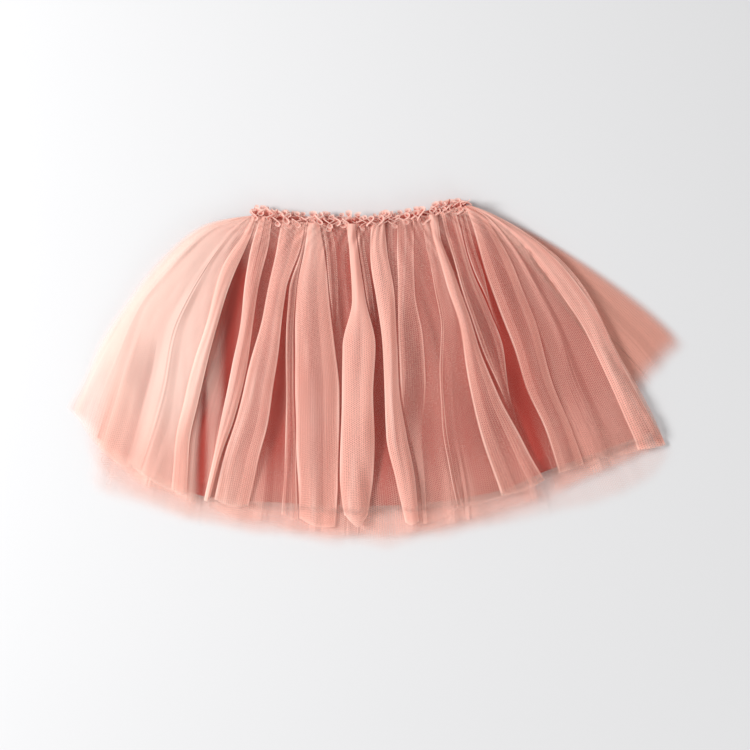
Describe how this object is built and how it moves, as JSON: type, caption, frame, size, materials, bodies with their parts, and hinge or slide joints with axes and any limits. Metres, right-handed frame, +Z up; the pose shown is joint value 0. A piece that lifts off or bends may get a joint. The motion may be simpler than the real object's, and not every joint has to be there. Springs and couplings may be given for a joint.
{
  "type": "tulle skirt",
  "caption": "Child's gathered tulle skirt laid flat, with sheer net layers over a shorter opaque lining and a narrow ruffled elastic waist.",
  "frame": {"origin": "on the surface that the skirt lies on, under the middle of its outline", "axes": "+X across the skirt to the viewer's right, +Y from the hem towards the waist, +Z up off the surface, out of the front"},
  "size_m": [0.5625, 0.3197, 0.0368],
  "materials": {
    "tulle_outer": "sheer soft net, matt with a faint sheen on the folds",
    "tulle_inner": "sheer soft net, matt",
    "lining": "opaque plain weave, matt",
    "waist": "net gathered tightly over elastic, matt",
    "frill": "raw net edge, matt"
  },
  "bodies": {
    "root": {"tulle_front_outer": "tulle_outer", "tulle_front_inner": "tulle_inner", "lining_front": "lining", "lining_back": "lining", "tulle_back_inner": "tulle_inner", "tulle_back_outer": "tulle_outer", "waistband": "waist", "frill_front": "frill", "frill_back": "frill"}
  },
  "joints": []
}
